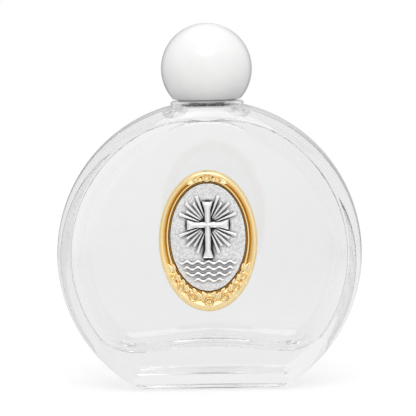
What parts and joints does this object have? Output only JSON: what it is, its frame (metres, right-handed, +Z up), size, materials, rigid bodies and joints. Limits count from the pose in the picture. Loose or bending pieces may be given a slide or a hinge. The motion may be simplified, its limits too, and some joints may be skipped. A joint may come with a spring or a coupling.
{
  "type": "holy water bottle",
  "caption": "Round flat clear-glass flask for holy water, with a white ball screw cap and an oval gilt-framed relief medal on its front.",
  "frame": {"origin": "middle of the flat foot that the flask stands on, under the axis of the neck", "axes": "+Z up along the neck, +X to the right seen from the medal's side, +Y from the medal through the flask to its back"},
  "size_m": [0.084, 0.0345, 0.1003],
  "materials": {
    "clear_glass": "clear, fire-polished",
    "ball_white": "glossy moulded white",
    "insert_grey": "satin moulded grey",
    "liner_foam": "fine-celled foam",
    "plug_natural": "natural waxy polyethylene",
    "gilt": "satin gilding, brighter on the high edges",
    "antique_silver": "struck relief, darkened in the recesses",
    "tape_foam": "white foam pad",
    "glue_film": "thin set adhesive"
  },
  "bodies": {
    "flask": {"flask": "clear_glass", "pour_plug": "plug_natural", "frame_tape": "tape_foam", "medal_frame": "gilt", "plate_glue": "glue_film", "medal_plate": "antique_silver"},
    "liner": {"cap_liner": "liner_foam"},
    "cap": {"cap_insert": "insert_grey", "cap_ball": "ball_white"}
  },
  "joints": [
    {"name": "cap_lift", "type": "slide", "parent": "flask", "child": "liner", "axis": [0, 0, 1], "range_m": [0, 0.012]},
    {"name": "cap_turn", "type": "hinge", "parent": "liner", "child": "cap", "pos_m": [0, 0, 0.085], "axis": [0, 0, 1], "range_deg": [0, 1440]}
  ],
  "couplings": [
    {"joint": "cap_lift", "follows": "cap_turn", "m_per_rad": 0.00047746}
  ]
}
